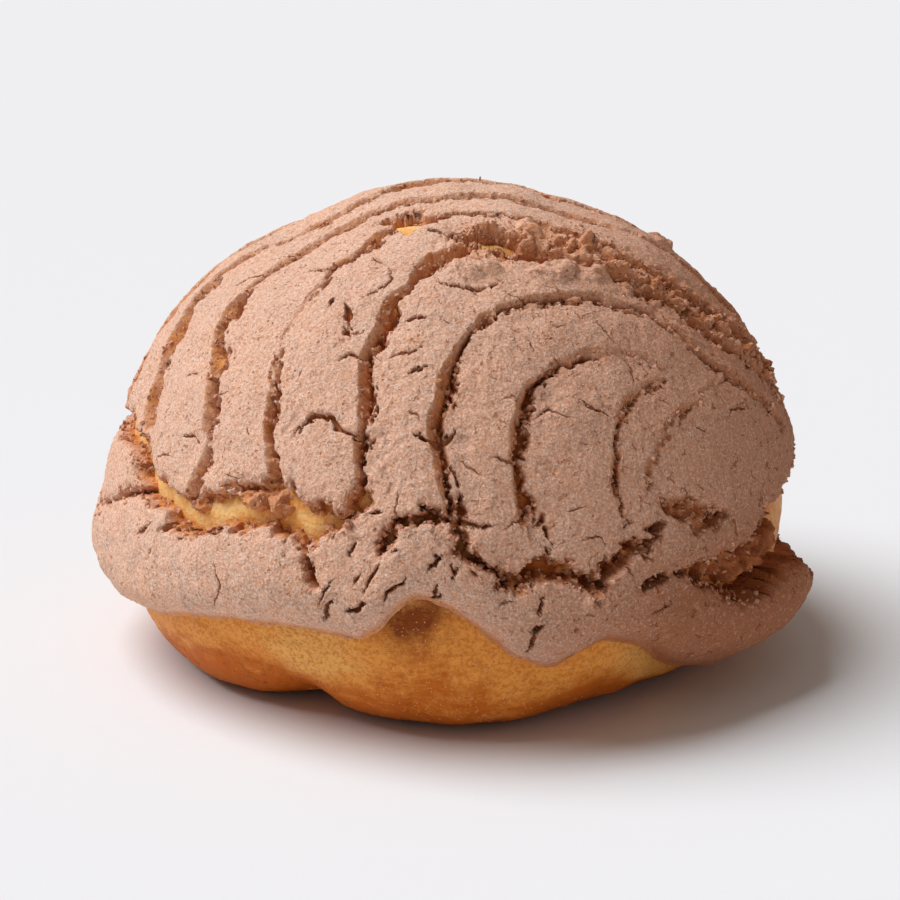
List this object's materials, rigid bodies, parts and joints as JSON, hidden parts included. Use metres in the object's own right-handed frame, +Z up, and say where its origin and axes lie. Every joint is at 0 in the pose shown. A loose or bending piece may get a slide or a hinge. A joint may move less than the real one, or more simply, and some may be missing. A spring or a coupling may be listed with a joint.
{
  "type": "concha sweet bun with cocoa sugar topping",
  "caption": "Round domed sweet bun under a thick cracked sugar-paste topping with curved shell grooves, standing on its flat base.",
  "frame": {"origin": "centre of the whole bun's outline, on the flat base at z = 0", "axes": "+X to the right across the widest side, -Y towards the front where the dough shows under the arched edge, +Z up"},
  "size_m": [0.1094, 0.105, 0.071],
  "materials": {
    "dough": "golden baked dough, orange-brown where it browned, slightly glossy",
    "sugar_topping": "matt sandy sugar paste, pinkish brown, with tiny pits and cracks"
  },
  "bodies": {
    "root": {"bun": "dough", "topping": "sugar_topping"}
  },
  "joints": []
}
